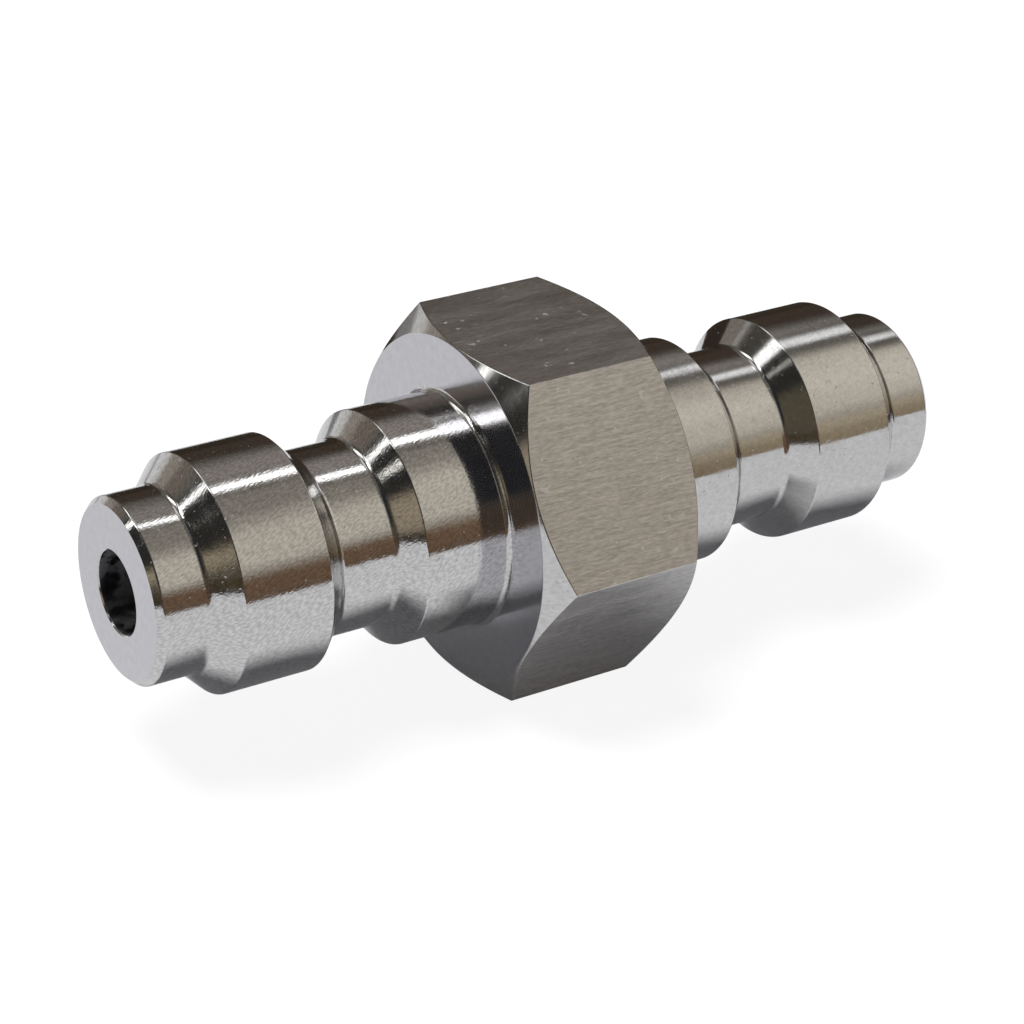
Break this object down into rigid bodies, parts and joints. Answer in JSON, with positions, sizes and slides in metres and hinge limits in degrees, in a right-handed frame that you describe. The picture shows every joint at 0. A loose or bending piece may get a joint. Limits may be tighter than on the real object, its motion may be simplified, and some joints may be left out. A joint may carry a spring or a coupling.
{
  "type": "quick disconnect adapter",
  "caption": "Turned stainless adapter with a wrench hexagon in the middle, the same quick-disconnect plug at each end and a straight through bore.",
  "frame": {"origin": "middle of the hexagon on the bore axis", "axes": "+X along the bore axis, +Z square to a hexagon flat, so the part rests on the opposite flat"},
  "size_m": [0.0306, 0.0138, 0.012],
  "materials": {
    "steel": "turned and faced, bright satin"
  },
  "bodies": {
    "root": {"adapter_body": "steel"}
  },
  "joints": []
}
